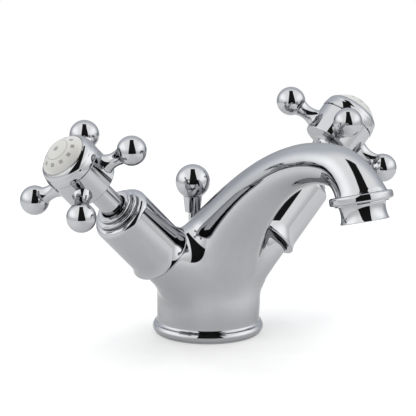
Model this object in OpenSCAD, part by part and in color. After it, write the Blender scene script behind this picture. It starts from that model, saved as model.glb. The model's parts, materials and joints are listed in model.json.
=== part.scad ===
// Two-handle basin mixer: one cast body with an arched spout, two quarter-turn
// ceramic valves set at 45 degrees, ball-ended cross handles and a lift rod.
// Millimetres. Origin at the centre of the underside, +Z up, spout towards -Y,
// hot side at -X, cold side at +X.

/* [Column] */
// radius of the bead that rings the foot
foot_r = 27; // [24:0.1:32]
// radius of the flat foot that stands on the deck
sole_r = 25.9; // [22:0.1:30]
// height of the foot bead
foot_h = 5; // [3:0.1:9]
// radius of the column
column_r = 24.9; // [20:0.1:30]
// height where the column turns into its domed top
column_h = 29.5; // [20:0.5:40]

/* [Spout] */
// height of the spout centre line where it leaves the column
root_z = 26.8; // [20:0.1:36]
// rise angle of the centre line at the root
root_angle = 69.6; // [45:0.1:90]
// pull of the root end of the rising curve
root_pull = 15.6; // [5:0.1:40]
// forward reach of the highest point of the centre line
apex_y = 98.7; // [70:0.1:130]
// height of the highest point of the centre line
apex_z = 100.3; // [80:0.1:130]
// pull of the upper end of the rising curve
apex_pull = 53.1; // [20:0.1:80]
// pull of the top of the falling curve
drop_pull = 10.2; // [4:0.1:20]
// pull of the outlet end of the falling curve
mouth_pull = 2.5; // [1:0.1:10]
// spout radius at the root
root_r = 28.7; // [20:0.1:32]
// spout radius at the highest point
apex_r = 9.65; // [7:0.05:14]
// spout radius where it meets the outlet collar
mouth_r = 12.85; // [10:0.05:16]
// wall thickness of the spout
spout_wall = 3.2; // [2:0.1:5]

/* [Outlet] */
// forward reach of the centre of the outlet face
outlet_y = 120; // [90:0.5:150]
// height of the centre of the outlet face
outlet_z = 78.3; // [60:0.1:120]
// forward lean of the outlet axis from vertical
outlet_lean = 15.9; // [0:0.1:30]
// radius of the outlet collar
collar_r = 14.9; // [12:0.1:18]
// height of the waisted nozzle below the collar
nozzle_h = 8.2; // [5:0.1:14]
// nozzle radius at its top and bottom rims
nozzle_r = 11.55; // [9:0.05:14]
// nozzle radius at its waist
nozzle_waist_r = 10.6; // [9:0.05:13]

/* [Valves] */
// sideways distance from the column axis to the handle ball plane
valve_x = 76.3; // [60:0.1:100]
// forward offset of both valve axes
valve_y = 4.5; // [0:0.1:12]
// height of the handle ball plane on the valve axis
valve_z = 88.9; // [70:0.1:120]
// tilt of the valve axes from vertical
valve_tilt = 45; // [30:0.5:60]
// distance from the ball plane down to the end face of the body branch
branch_end = 63.2; // [55:0.1:75]
// radius of the body branch at its end face
branch_r = 12.6; // [11.5:0.1:16]
// radius of the valve shroud
shroud_r = 14.5; // [14:0.1:18]
// nominal radius of the half-inch bonnet thread
bonnet_thread_r = 10.4; // [9:0.05:11]
// width across the flats of the bonnet hexagon
bonnet_flats = 22; // [18:0.5:24]
// radius of the ceramic discs
disc_r = 8; // [6:0.1:8.5]
// radius of the spindle in the bonnet
spindle_r = 4.98; // [3:0.01:6]
// radius of the spline that carries the handle
spline_r = 4; // [3:0.05:5]

/* [Handles] */
// radius of the handle hub
hub_r = 14; // [12:0.1:18]
// radius of the handle neck that enters the shroud
neck_r = 5.8; // [4.5:0.1:7]
// distance of the ball centres from the valve axis
ball_reach = 28.1; // [20:0.1:40]
// radius of the handle balls
ball_r = 7.1; // [5:0.1:10]
// radius of an arm at its waist
arm_waist_r = 3.45; // [2.5:0.05:5]
// radius of an arm where it meets the hub
arm_root_r = 4.8; // [3.5:0.05:6]
// angle of the first hot arm round its hub
hot_phase = 43.8; // [0:0.1:90]
// angle of the first cold arm round its hub
cold_phase = 54.4; // [0:0.1:90]
// radius of the index button
index_r = 11.3; // [8:0.1:13]

/* [Lift rod] */
// distance of the lift rod behind the column axis
rod_y = 12.4; // [8:0.1:18]
// radius of the lift rod
rod_r = 2.15; // [1.5:0.05:3]
// height of the centre of the lift knob
knob_z = 72.4; // [60:0.1:100]
// radius of the lift knob
knob_r = 8.25; // [6:0.05:12]

/* [Connections] */
// sideways distance of each inlet from the column axis
inlet_x = 9.1; // [7:0.1:12]
// nominal radius of the tapped inlets
inlet_r = 5; // [4:0.1:6]
// depth of the tapped inlets
inlet_depth = 12; // [8:0.5:20]
// forward offset of the fixing stud hole
stud_y = 15.3; // [13:0.1:15.8]
// nominal radius of the fixing stud hole
stud_r = 4; // [3:0.1:5]
// depth of the fixing stud hole
stud_depth = 15; // [10:0.5:22]

/* [Hidden] */
$fn = 96;
eps = 0.01;
through = 80;
chrome = [0.80, 0.81, 0.83];
brass = [0.78, 0.64, 0.34];
ceramic = [0.93, 0.92, 0.88];
rubber = [0.16, 0.16, 0.17];
plastic = [0.86, 0.86, 0.84];
steel = [0.62, 0.63, 0.65];

// spout sweep
ring_n = 32;
rise_steps = 14;
drop_steps = 8;
joint_at = 0.3;
waterway_r = 7;
waterway_h = 20;
boss_h = 20;
rise_power = 2.06;
drop_power = 1.65;
root_y = 0.15;
mouth_axis = [0, -sin(outlet_lean), -cos(outlet_lean)];
mouth_up = 10.8;
mouth_p = [0, -outlet_y, outlet_z] - mouth_up * mouth_axis;
apex_p = [0, -apex_y, apex_z];
root_p = [0, -root_y, root_z];

// column
sole_h = 1;
foot_overlap = 0.6;
bead_rise = 2.8;
bead_bulge = 2.45;
column_foot_fillet = 1.4;
branch_flare = 40;
branch_flare_at = 76;
branch_deep = 96;
branch_flare_w = 8;
collar_h = 3.9;
collar_lip_h = 0.7;
collar_lip_r = 12.7;
collar_edge = 1.2;
collar_web = 0.8;
collar_web_r = 7;
collar_socket_r = 13.2;
mouth_bore_r = 10.6;
nozzle_hollow = 10.6;
nozzle_waist_at = 0.56;
nozzle_thread_up = 1.4;
aerator_r = 9.24;
aerator_bore_r = 9.3;
aerator_lip_r = 8.2;
aerator_floor = 1.6;
aerator_h = 6.5;
aerator_sieve_h = 2.55;
aerator_cup_r = 8;
aerator_washer_r = 6.6;
jet_r = 0.9;
jet_rings = [[1, 0], [6, 3.2], [12, 6.2]];
gasket_in = 20.2;
gasket_out = 23.8;
gasket_h = 1.5;
gasket_gap = 0.05;

// valve stations, measured along the valve axis from the ball plane
seat_t = -82;
seat_h = 2;
seat_bore_r = 4.6;
port_r = 4;
port_t = -95;
inlet_port_r = 3.5;
inlet_top_z = 23;
link_r = 3.4;
link_x = 17;
link_z = 41.5;
link_short = 7;
chamber_r = 10.7;
seal_h = 2;
disc_h = 3;
skirt_r = 9.3;
skirt_lift = 0.4;
disc_port_r = 2.3;
disc_port_at = 4.3;
slot_w = 3.4;
slot_h = 1.2;
tongue_w = 3.3;
tongue_len = 14;
tongue_h = 1.15;
spindle_foot_w = 4;
spindle_foot_h = 3;
spindle_low_t = -73;
bonnet_shoulder_t = -70.6;
bonnet_top_t = -30.5;
bonnet_top_r = 8.4;
window_t = -73.4;
window_r = 1.9;
window_n = 3;
bonnet_washer_h = 0.8;
bonnet_washer_r = 12.4;
hex_h = 5.4;
spindle_foot_r = 7.8;
spindle_step_t = -31;
spindle_top_t = -7;
spline_from_t = -20;
spline_tooth = 0.6;
spline_n = 10;
oring_r = 0.56;
seal_ts = [-61.3, -55.3];
groove_h = 1.4;
groove_depth = 1.1;
clip_r = 5.8;
clip_bore_r = 3.44;
clip_t = -30.05;
clip_h = 0.65;
clip_mouth = 4.4;
fit = 0.06;
shroud_top_t = -24.2;
shroud_hole_r = 7.2;
shroud_foot_r = 15.8;
shoulder_r = 3;
shoulder_t = 31.4;
step_bead = 0.95;
step_one_r = 8.4;
step_two_r = 10.45;
step_two_t = -26.15;
shroud_bore_r = 12.95;
shroud_bore_t = -40;
shroud_neck_t = -36;
foot_flare = 12;
foot_edge = 1.2;
flare_h = 6.5;

// handle stations
hub_bottom_t = -6.3;
hub_top_t = 8.6;
hub_floor_t = 3;
hub_recess_r = 10.1;
hub_edge = 0.6;
screw_hole_r = 2.2;
neck_end_t = -29;
neck_fillet = 3;
arm_seat = 12.9;
arm_waist_at = 18.6;
arm_stud_r = 1.95;
arm_stud_from = 8.6;
arm_root_at = 13.6;
arm_dip = arm_root_r - arm_waist_r;
arm_hollow = (pow(arm_waist_at - arm_root_at, 2) + pow(arm_dip, 2)) / (2 * arm_dip);
cap_skirt_r = 10;
cap_skirt_t = 4.6;
cap_wall = 1.8;
cap_over = 0.2;
cap_bulge = 10.9;
cap_rim_t = 15.9;
cap_floor_t = 12.4;
index_floor_t = 14;
index_edge_h = 1.9;
index_dome_h = 5.4;
dome_r = (pow(index_r, 2) + pow(index_dome_h, 2)) / (2 * index_dome_h);
fit_clear = 0.03;
screw_r = 1.95;
screw_head_r = 3.5;
screw_head_h = 2.4;
screw_len = 20;
screw_key_r = 1.73;

// lift rod
rod_bottom_z = 7;
guide_r = 3.4;
guide_from_z = 34;
guide_h = 12;
knob_neck_h = 7.6;
knob_neck_r = 4.7;
knob_neck_low_r = 3.85;
knob_neck_drop = 7.5;
rod_hole_r = rod_r + 0.5;
rod_tap_r = 1.25;
rod_tap_h = 8;

// ---------------------------------------------------------------- helpers

// moves its children to the valve axis of one side, +Z outwards
module on_valve(side)
  translate([side * valve_x, -valve_y, valve_z])
    rotate([0, side * valve_tilt, 0])
      children();

// moves its children to the outlet axis, +Z up into the spout
module on_outlet()
  translate([0, -outlet_y, outlet_z])
    rotate([-outlet_lean, 0, 0])
      children();

// a tube between two stations
module tube(r_out, r_in, from, to)
  translate([0, 0, from])
    difference() {
      cylinder(r = r_out, h = to - from);
      translate([0, 0, -1])
        cylinder(r = r_in, h = to - from + 2);
    }

// a ring of round section
module ring(r_mid, r_wire)
  rotate_extrude()
    translate([r_mid, 0])
      circle(r_wire, $fn = 48);

// a rectangle from the axis to a radius, between two stations
module square_below(r, from, to)
  translate([0, from])
    square([r, to - from]);

// keeps the half of a profile on the positive side of its axis
module half_profile()
  intersection() {
    children();
    translate([0, -200])
      square([200, 400]);
  }

// a point of a four-point curve
function curve(a, b, c, d, t) =
  pow(1 - t, 3) * a + 3 * pow(1 - t, 2) * t * b + 3 * (1 - t) * t * t * c + pow(t, 3) * d;

// direction of a four-point curve
function curve_dir(a, b, c, d, t) =
  let (v = pow(1 - t, 2) * (b - a) + 2 * (1 - t) * t * (c - b) + t * t * (d - c))
    v / norm(v);

root_dir = [0, -cos(root_angle), sin(root_angle)];
rise_b = root_p + root_pull * root_dir;
rise_c = apex_p + [0, apex_pull, 0];
drop_b = apex_p - [0, drop_pull, 0];
drop_c = mouth_p - mouth_pull * mouth_axis;

// centre line: u from 0 to 1 rises to the top, u from 1 to 2 falls to the collar
function spine(u) =
  u <= 1 ? curve(root_p, rise_b, rise_c, apex_p, u)
         : curve(apex_p, drop_b, drop_c, mouth_p, u - 1);
function spine_dir(u) =
  u <= 1 ? curve_dir(root_p, rise_b, rise_c, apex_p, u)
         : curve_dir(apex_p, drop_b, drop_c, mouth_p, u - 1);
function spout_r(u) =
  u <= 1 ? apex_r + (root_r - apex_r) * pow(1 - u, rise_power)
         : apex_r + (mouth_r - apex_r) * pow(u - 1, drop_power);

// the stations of the sweep, from the joint with the body to the collar
stations = concat(
  [for (i = [0 : rise_steps - 1]) joint_at + (1 - joint_at) * i / rise_steps],
  [for (i = [0 : drop_steps]) 1 + i / drop_steps]);

// one ring of points square to the centre line
function ring_points(u, r) =
  let (p = spine(u), d = spine_dir(u), side = [0, -d[2], d[1]])
    [for (k = [0 : ring_n - 1])
      p + r * (cos(360 * k / ring_n) * [1, 0, 0] + sin(360 * k / ring_n) * side)];

// triangles of one skin; the first point index and the facing are given
function skin(first, out) =
  [for (i = [0 : len(stations) - 2], k = [0 : ring_n - 1], half = [0, 1])
    let (a = first + i * ring_n + k,
         b = first + i * ring_n + (k + 1) % ring_n,
         t = half == 0 ? [a, a + ring_n, b] : [b, a + ring_n, b + ring_n])
      out ? t : [t[0], t[2], t[1]]];

// triangles that close the wall at one end
function end_wall(outer, inner, start) =
  [for (k = [0 : ring_n - 1], half = [0, 1])
    let (k2 = (k + 1) % ring_n,
         t = half == 0 ? [outer + k, outer + k2, inner + k]
                       : [outer + k2, inner + k2, inner + k])
      start ? t : [t[0], t[2], t[1]]];

// moves its children to the plane where the spout joins the body, +Z up the spout
module on_joint()
{
  d = spine_dir(joint_at);
  translate(spine(joint_at))
    rotate([acos(d[2]), 0, 0])
      children();
}

// ---------------------------------------------------------------- body

// column with its foot bead and domed top
module column()
  rotate_extrude()
    half_profile()
      union() {
        square([sole_r, sole_h]);
        translate([0, sole_h])
          square([column_r, foot_h - sole_h]);
        translate([foot_r - bead_bulge, bead_rise])
          circle(bead_bulge, $fn = 48);
        difference() {
          translate([0, foot_h - foot_overlap])
            square([column_r + column_foot_fillet, column_foot_fillet + foot_overlap]);
          translate([column_r + column_foot_fillet, foot_h + column_foot_fillet])
            circle(column_foot_fillet, $fn = 48);
        }
        square([column_r, column_h]);
        translate([0, column_h])
          circle(column_r);
      }

// one flared branch of the body, along a valve axis
module branch()
  rotate_extrude()
    difference() {
      translate([0, -branch_deep])
        square([branch_r + branch_flare_w, branch_deep - branch_end]);
      translate([branch_r + branch_flare, -branch_flare_at])
        circle(branch_flare, $fn = 180);
      translate([branch_r, -branch_flare_at])
        square([branch_flare, branch_flare_at - branch_end + 1]);
    }

// valve chamber with seat, undercut, thread and port, along a valve axis
module chamber()
  rotate_extrude()
    union() {
      translate([0, port_t])
        square([port_r, seat_t - port_t + eps]);
      translate([0, seat_t])
        square([skirt_r + 0.2, -seat_t - branch_end + 1]);
      translate([0, seat_t + seat_h])
        square([chamber_r, bonnet_shoulder_t - seat_t - seat_h]);
      translate([0, bonnet_shoulder_t - eps])
        square([bonnet_thread_r + fit, -bonnet_shoulder_t - branch_end + 1]);
    }

// conical boss that carries the spout
module spout_boss()
{
  slope = (spout_r(joint_at - 0.01) - spout_r(joint_at + 0.01))
    / norm(spine(joint_at + 0.01) - spine(joint_at - 0.01));
  on_joint()
    translate([0, 0, -boss_h])
      cylinder(r1 = spout_r(joint_at) + slope * boss_h, r2 = spout_r(joint_at), h = boss_h);
}

// passage from one valve chamber to the foot of the spout waterway
module link(side)
{
  a = [side * link_x, -valve_y, link_z];
  b = spine(joint_at) - link_short * spine_dir(joint_at);
  v = b - a;
  translate(a)
    rotate([0, acos(v[2] / norm(v)), atan2(v[1], v[0])])
      cylinder(r = link_r, h = norm(v));
}

module body()
color(chrome)
  difference() {
    union() {
      column();
      on_valve(-1) branch();
      on_valve(1) branch();
      spout_boss();
    }
    on_joint()
      translate([0, 0, -waterway_h / 2])
        cylinder(r = waterway_r, h = waterway_h);
    on_valve(-1) chamber();
    on_valve(1) chamber();
    link(-1);
    link(1);
    // inlets
    for (side = [-1, 1])
      translate([side * inlet_x, -valve_y, -1]) {
        cylinder(r = inlet_r, h = inlet_depth + 1);
        cylinder(r = inlet_port_r, h = inlet_top_z + 1);
      }
    // fixing stud
    translate([0, -stud_y, -1])
      cylinder(r = stud_r, h = stud_depth + 1);
    // lift rod
    translate([0, rod_y, -1])
      cylinder(r = rod_hole_r, h = through);
    translate([0, rod_y, guide_from_z])
      cylinder(r = guide_r + fit_clear, h = through);
    // gasket groove
    tube(gasket_out + gasket_gap, gasket_in - gasket_gap, -1, gasket_h + gasket_gap);
  }

// hollow arched spout, from the joint plane to the collar
module spout()
color(chrome)
{
  rows = len(stations);
  far = (rows - 1) * ring_n;
  points = concat(
    [for (u = stations) each ring_points(u, spout_r(u))],
    [for (u = stations) each ring_points(u, spout_r(u) - spout_wall)]);
  faces = concat(
    skin(0, true),
    skin(rows * ring_n, false),
    end_wall(0, rows * ring_n, true),
    end_wall(far, rows * ring_n + far, false));
  polyhedron(points = points, faces = faces);
}

// ring at the end of the spout, tapped for the nozzle
module outlet_collar()
color(chrome)
  on_outlet()
    rotate_extrude()
      difference() {
        union() {
          translate([0, nozzle_h])
            square([collar_lip_r, collar_lip_h + eps]);
          translate([0, nozzle_h + collar_lip_h])
            square([collar_r - collar_edge, collar_h]);
          translate([0, nozzle_h + collar_lip_h + collar_edge])
            square([collar_r, collar_h - 2 * collar_edge]);
          for (t = [collar_edge, collar_h - collar_edge])
            translate([collar_r - collar_edge, nozzle_h + collar_lip_h + t])
              circle(collar_edge, $fn = 48);
        }
        square([collar_web_r, through]);
        square([mouth_bore_r + fit, mouth_up - collar_web]);
        translate([0, mouth_up])
          square([collar_socket_r, through]);
      }

module base_gasket()
color(rubber)
  tube(gasket_out, gasket_in, 0, gasket_h);

module rod_guide()
color(plastic)
  translate([0, rod_y, 0])
    tube(guide_r, rod_r + 0.05, guide_from_z, guide_from_z + guide_h);

// ---------------------------------------------------------------- outlet

module outlet_nozzle()
color(chrome)
  on_outlet()
    rotate_extrude()
      difference() {
        union() {
          square([nozzle_r, nozzle_h - 0.05]);
          translate([0, nozzle_h - 1])
            square([mouth_bore_r, nozzle_thread_up + 1]);
        }
        // waist
        translate([nozzle_waist_r + nozzle_hollow, nozzle_h * nozzle_waist_at])
          circle(nozzle_hollow);
        square([aerator_lip_r, through]);
        translate([0, aerator_floor])
          square([aerator_bore_r, through]);
      }

// flow straightener: a drilled plastic cartridge
module aerator_insert()
color(plastic)
  on_outlet()
    difference() {
      translate([0, 0, aerator_floor + gasket_gap])
        cylinder(r = aerator_r, h = aerator_h);
      translate([0, 0, aerator_floor + aerator_sieve_h])
        cylinder(r = aerator_cup_r, h = aerator_h);
      for (r = jet_rings, k = [0 : r[0] - 1])
        rotate([0, 0, 360 / r[0] * (k + 0.5)])
          translate([r[1], 0, 0])
            cylinder(r = jet_r, h = aerator_h, $fn = 24);
    }

module aerator_washer()
color(rubber)
  on_outlet()
    tube(aerator_r, aerator_washer_r, nozzle_h, mouth_up - collar_web - gasket_gap);

// ---------------------------------------------------------------- valves

module shroud(side)
color(chrome)
  on_valve(side)
    rotate_extrude()
      difference() {
        union() {
          square_below(shroud_r, -branch_end, -shoulder_t);
          translate([shroud_r - shoulder_r, -shoulder_t])
            circle(shoulder_r);
          square_below(shroud_r - shoulder_r, -shoulder_t, shoulder_r - shoulder_t);
          // two stepped rings
          square_below(step_two_r, -30, step_two_t);
          translate([step_two_r, step_two_t - step_bead])
            circle(step_bead, $fn = 48);
          square_below(step_one_r, -30, shroud_top_t);
          translate([step_one_r, shroud_top_t - step_bead])
            circle(step_bead, $fn = 48);
          // flared foot
          difference() {
            square_below(shroud_foot_r, -branch_end + foot_edge, -branch_end + flare_h);
            translate([shroud_r + foot_flare, -branch_end + flare_h])
              circle(foot_flare, $fn = 180);
          }
          translate([shroud_foot_r - foot_edge, -branch_end + foot_edge])
            circle(foot_edge, $fn = 48);
        }
        square_below(shroud_bore_r, -branch_end - 1, shroud_bore_t);
        polygon([[0, shroud_bore_t - 0.1], [shroud_bore_r, shroud_bore_t - 0.1],
          [bonnet_top_r + fit, shroud_neck_t + 0.4], [0, shroud_neck_t + 0.4]]);
        square_below(bonnet_top_r + fit, shroud_neck_t, bonnet_top_t);
        square_below(shroud_hole_r, bonnet_top_t - 1.5, 0);
        square_below(30, -branch_end - 5, -branch_end + 0.3);
      }

module bonnet(side)
color(brass)
  on_valve(side)
    difference() {
      union() {
        translate([0, 0, seat_t + skirt_lift])
          cylinder(r = skirt_r, h = -branch_end - seat_t);
        translate([0, 0, bonnet_shoulder_t + gasket_gap])
          cylinder(r = bonnet_thread_r, h = -branch_end - bonnet_shoulder_t + bonnet_washer_h);
        translate([0, 0, -branch_end + bonnet_washer_h])
          cylinder(r = bonnet_flats / 2 / cos(30), h = hex_h, $fn = 6);
        translate([0, 0, -branch_end])
          cylinder(r = bonnet_top_r, h = branch_end + bonnet_top_t);
      }
      translate([0, 0, seat_t - 1])
        cylinder(r = disc_r + 0.1, h = bonnet_shoulder_t - seat_t + 1);
      translate([0, 0, bonnet_shoulder_t - 1])
        cylinder(r = spindle_r + fit, h = through);
      // outlet windows above the discs
      for (k = [0 : window_n - 1])
        rotate([0, 0, 360 / window_n * k])
          translate([0, 0, window_t])
            rotate([90, 0, 0])
              cylinder(r = window_r, h = skirt_r + 1, $fn = 32);
    }

module bonnet_washer(side)
color(rubber)
  on_valve(side)
    tube(bonnet_washer_r, bonnet_thread_r + fit, -branch_end, -branch_end + bonnet_washer_h);

module seat_seal(side)
color(rubber)
  on_valve(side)
    tube(disc_r, seat_bore_r, seat_t, seat_t + seal_h);

// ceramic disc with two opposed ports
module ported_disc(from, h)
  difference() {
    translate([0, 0, from])
      cylinder(r = disc_r, h = h);
    for (k = [0, 180])
      rotate([0, 0, k])
        translate([disc_port_at, 0, from - 1])
          cylinder(r = disc_port_r, h = disc_h + 2);
  }

module fixed_disc(side)
color(ceramic)
  on_valve(side)
    ported_disc(seat_t + seal_h, disc_h - fit_clear);

module moving_disc(side)
color(ceramic)
  on_valve(side)
    rotate([0, 0, 90])
      difference() {
        ported_disc(seat_t + seal_h + disc_h, disc_h);
        translate([-slot_w / 2, -disc_r - 1, seat_t + seal_h + 2 * disc_h - slot_h])
          cube([slot_w, 2 * disc_r + 2, slot_h + 1]);
      }

module spindle(side)
color(brass)
  on_valve(side)
    difference() {
      union() {
        // foot and tongue that turn the moving disc
        intersection() {
          translate([0, 0, seat_t + seal_h + 2 * disc_h + gasket_gap])
            cylinder(r = spindle_foot_r, h = spindle_foot_h);
          translate([-spindle_foot_r, -spindle_foot_w / 2, seat_t])
            cube([2 * spindle_foot_r, spindle_foot_w, -seat_t]);
        }
        translate([-tongue_len / 2, -tongue_w / 2, seat_t + seal_h + 2 * disc_h - tongue_h])
          cube([tongue_len, tongue_w, tongue_h + 0.5]);
        translate([0, 0, spindle_low_t])
          cylinder(r = spindle_r, h = spindle_step_t - spindle_low_t);
        translate([0, 0, spindle_step_t - 1])
          cylinder(r = spline_r - spline_tooth / 2, h = spindle_top_t - spindle_step_t + 1);
        translate([0, 0, spindle_step_t - 1])
          cylinder(r = spline_r, h = spline_from_t - spindle_step_t);
        // spline teeth
        for (k = [0 : spline_n - 1])
          rotate([0, 0, 180 / spline_n * k])
            translate([-spline_r, -spline_tooth / 2, spline_from_t - 1 - eps])
              cube([2 * spline_r, spline_tooth, spindle_top_t - spline_from_t]);
      }
      // seal grooves
      for (t = seal_ts)
        tube(spindle_r + 1, spindle_r - groove_depth, t - groove_h / 2, t + groove_h / 2);
      // clip groove
      tube(spline_r + 1, clip_bore_r - gasket_gap, clip_t - gasket_gap, clip_t + clip_h + gasket_gap);
      // handle screw
      translate([0, 0, hub_floor_t - screw_len - 1])
        cylinder(r = screw_r + fit_clear, h = through);
    }

module spindle_seals(side)
color(rubber)
  on_valve(side)
    for (t = seal_ts)
      translate([0, 0, t])
        ring(spindle_r - groove_depth + oring_r + eps, oring_r);

module spindle_clip(side)
color(steel)
  on_valve(side)
    difference() {
      tube(clip_r, clip_bore_r, clip_t, clip_t + clip_h);
      translate([0, -clip_mouth / 2, clip_t - 1])
        cube([clip_r + 1, clip_mouth, clip_h + 2]);
    }

// ---------------------------------------------------------------- handles

module handle_hub(side, phase)
color(chrome)
  on_valve(side)
    rotate([0, 0, phase])
      difference() {
        rotate_extrude()
          difference() {
            union() {
              translate([0, neck_end_t])
                square([neck_r, hub_floor_t - neck_end_t]);
              translate([0, hub_bottom_t])
                square([hub_r - hub_edge, hub_top_t - hub_bottom_t]);
              translate([0, hub_bottom_t + hub_edge])
                square([hub_r, hub_top_t - hub_bottom_t - hub_edge]);
              translate([hub_r - hub_edge, hub_bottom_t + hub_edge])
                circle(hub_edge, $fn = 32);
              difference() {
                translate([0, hub_bottom_t - neck_fillet])
                  square([neck_r + neck_fillet, neck_fillet + 0.5]);
                translate([neck_r + neck_fillet, hub_bottom_t - neck_fillet])
                  circle(neck_fillet, $fn = 48);
              }
            }
            translate([0, neck_end_t - 1])
              square([spline_r + fit, hub_bottom_t + 0.5 - neck_end_t + 1]);
            translate([0, neck_end_t])
              square([screw_hole_r, through]);
            translate([0, hub_floor_t])
              square([hub_recess_r, through]);
          }
        // seats and tapped holes of the arms
        for (k = [0 : 3])
          rotate([0, 0, 90 * k])
            rotate([0, 90, 0]) {
              translate([0, 0, arm_seat])
                cylinder(r = arm_root_r + fit_clear, h = hub_r);
              translate([0, 0, arm_stud_from - gasket_gap])
                cylinder(r = arm_stud_r + fit_clear, h = hub_r);
            }
      }

// one turned arm with its ball and stud, along +Z
module arm()
  rotate_extrude()
    half_profile()
      union() {
        difference() {
          translate([0, arm_seat])
            square([arm_root_r, ball_reach - arm_seat - arm_waist_r]);
          translate([arm_waist_r + arm_hollow, arm_waist_at])
            circle(arm_hollow);
        }
        translate([0, ball_reach])
          circle(ball_r);
        translate([0, arm_stud_from])
          square([arm_stud_r, arm_root_at - arm_stud_from]);
      }

module handle_arms(side, phase)
color(chrome)
  on_valve(side)
    for (k = [0 : 3])
      rotate([0, 0, phase + 90 * k])
        rotate([0, 90, 0])
          arm();

module handle_cap(side)
color(chrome)
  on_valve(side)
    rotate_extrude()
      difference() {
        union() {
          intersection() {
            square_below(hub_r + 1, hub_top_t + gasket_gap, cap_rim_t);
            translate([hub_r + cap_over - cap_bulge, hub_top_t])
              circle(cap_bulge, $fn = 180);
          }
          square_below(cap_skirt_r, cap_skirt_t, cap_floor_t);
        }
        translate([0, cap_skirt_t - 1])
          square([cap_skirt_r - cap_wall, cap_floor_t - cap_skirt_t + 1]);
        translate([0, index_floor_t])
          square([index_r + fit, cap_rim_t]);
      }

module index_disc(side)
color(ceramic)
  on_valve(side)
    translate([0, 0, index_floor_t])
      rotate_extrude()
        intersection() {
          square([index_r, index_edge_h + index_dome_h]);
          translate([0, index_edge_h + index_dome_h - dome_r])
            circle(dome_r, $fn = 360);
        }

module handle_screw(side)
color(steel)
  on_valve(side)
    difference() {
      union() {
        translate([0, 0, hub_floor_t])
          cylinder(r = screw_head_r, h = screw_head_h);
        translate([0, 0, hub_floor_t - screw_len])
          cylinder(r = screw_r, h = screw_len + 1);
      }
      translate([0, 0, hub_floor_t + 1])
        cylinder(r = screw_key_r, h = screw_head_h, $fn = 6);
    }

// ---------------------------------------------------------------- lift rod

module lift_rod()
color(chrome)
  translate([0, rod_y, rod_bottom_z])
    difference() {
      cylinder(r = rod_r, h = knob_z - rod_bottom_z - 2);
      translate([0, 0, -1])
        cylinder(r = rod_tap_r, h = rod_tap_h + 1);
    }

module lift_knob()
color(chrome)
  translate([0, rod_y, 0])
    difference() {
      union() {
        translate([0, 0, knob_z])
          sphere(r = knob_r);
        translate([0, 0, knob_z - knob_neck_drop - knob_neck_h])
          cylinder(r1 = knob_neck_low_r, r2 = knob_neck_r, h = knob_neck_h);
        translate([0, 0, knob_z - knob_neck_drop - eps])
          cylinder(r = knob_neck_r - eps, h = knob_neck_drop / 2);
      }
      translate([0, 0, knob_z - 2 - through])
        cylinder(r = rod_r + fit_clear, h = through);
    }

// ---------------------------------------------------------------- nodes

body();
spout();
outlet_collar();
base_gasket();
rod_guide();
outlet_nozzle();
aerator_insert();
aerator_washer();
shroud(-1);  // hot_shroud
shroud(1);  // cold_shroud
bonnet(-1);  // hot_bonnet
bonnet(1);  // cold_bonnet
bonnet_washer(-1);  // hot_bonnet_washer
bonnet_washer(1);  // cold_bonnet_washer
seat_seal(-1);  // hot_seat_seal
seat_seal(1);  // cold_seat_seal
fixed_disc(-1);  // hot_fixed_disc
fixed_disc(1);  // cold_fixed_disc
moving_disc(-1);  // hot_moving_disc
moving_disc(1);  // cold_moving_disc
spindle(-1);  // hot_spindle
spindle(1);  // cold_spindle
spindle_seals(-1);  // hot_spindle_seals
spindle_seals(1);  // cold_spindle_seals
spindle_clip(-1);  // hot_spindle_clip
spindle_clip(1);  // cold_spindle_clip
handle_hub(-1, hot_phase);  // hot_handle_hub
handle_hub(1, cold_phase);  // cold_handle_hub
handle_arms(-1, hot_phase);  // hot_handle_arms
handle_arms(1, cold_phase);  // cold_handle_arms
handle_cap(-1);  // hot_handle_cap
handle_cap(1);  // cold_handle_cap
index_disc(-1);  // hot_index_disc
index_disc(1);  // cold_index_disc
handle_screw(-1);  // hot_handle_screw
handle_screw(1);  // cold_handle_screw
lift_rod();
lift_knob();
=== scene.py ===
"""Looks of a basin mixer tap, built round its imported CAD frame.

Shapes are worked out in millimetres and written to Blender in metres, in the frame's own axes:
+Z up, spout towards -Y, hot side at -X, cold side at +X.
"""
import json
import math

import bmesh
import bpy
import numpy as np
from mathutils import Matrix, Vector


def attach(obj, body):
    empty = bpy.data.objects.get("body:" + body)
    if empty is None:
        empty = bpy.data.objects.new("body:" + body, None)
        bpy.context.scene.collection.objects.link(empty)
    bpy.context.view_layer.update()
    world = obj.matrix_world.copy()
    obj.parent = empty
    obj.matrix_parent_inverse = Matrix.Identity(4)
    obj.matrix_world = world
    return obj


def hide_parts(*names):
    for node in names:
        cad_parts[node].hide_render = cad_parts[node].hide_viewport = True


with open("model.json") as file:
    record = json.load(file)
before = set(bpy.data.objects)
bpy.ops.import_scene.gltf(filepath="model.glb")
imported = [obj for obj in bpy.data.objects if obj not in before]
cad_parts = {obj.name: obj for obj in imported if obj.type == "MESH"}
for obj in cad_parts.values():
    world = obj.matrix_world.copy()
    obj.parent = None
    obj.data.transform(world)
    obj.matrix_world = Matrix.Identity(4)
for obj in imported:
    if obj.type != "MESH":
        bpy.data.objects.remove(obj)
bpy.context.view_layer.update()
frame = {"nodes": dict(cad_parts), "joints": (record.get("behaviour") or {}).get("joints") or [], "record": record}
MM = 0.001

# ------------------------------ driving dimensions, mm

SOLE_R, FOOT_R, FOOT_H = 25.9, 27.0, 5.0
COLUMN_R, COLUMN_H = 24.9, 29.5
COLUMN_FOOT_FILLET = 1.4
BEAD_R, BEAD_Z = 2.45, 2.8
GASKET_IN, GASKET_OUT, GASKET_H = 20.15, 23.85, 1.55
SOLE_LIP_H, SOLE_LEAN, SOLE_CHAMFER, SOLE_CHAMFER_H = 0.75, 0.05, 0.35, 0.3
# arcs of the foot's section, degrees
FOOT_FILLET_END, BEAD_START, BEAD_END = 262, 64, -54

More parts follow.
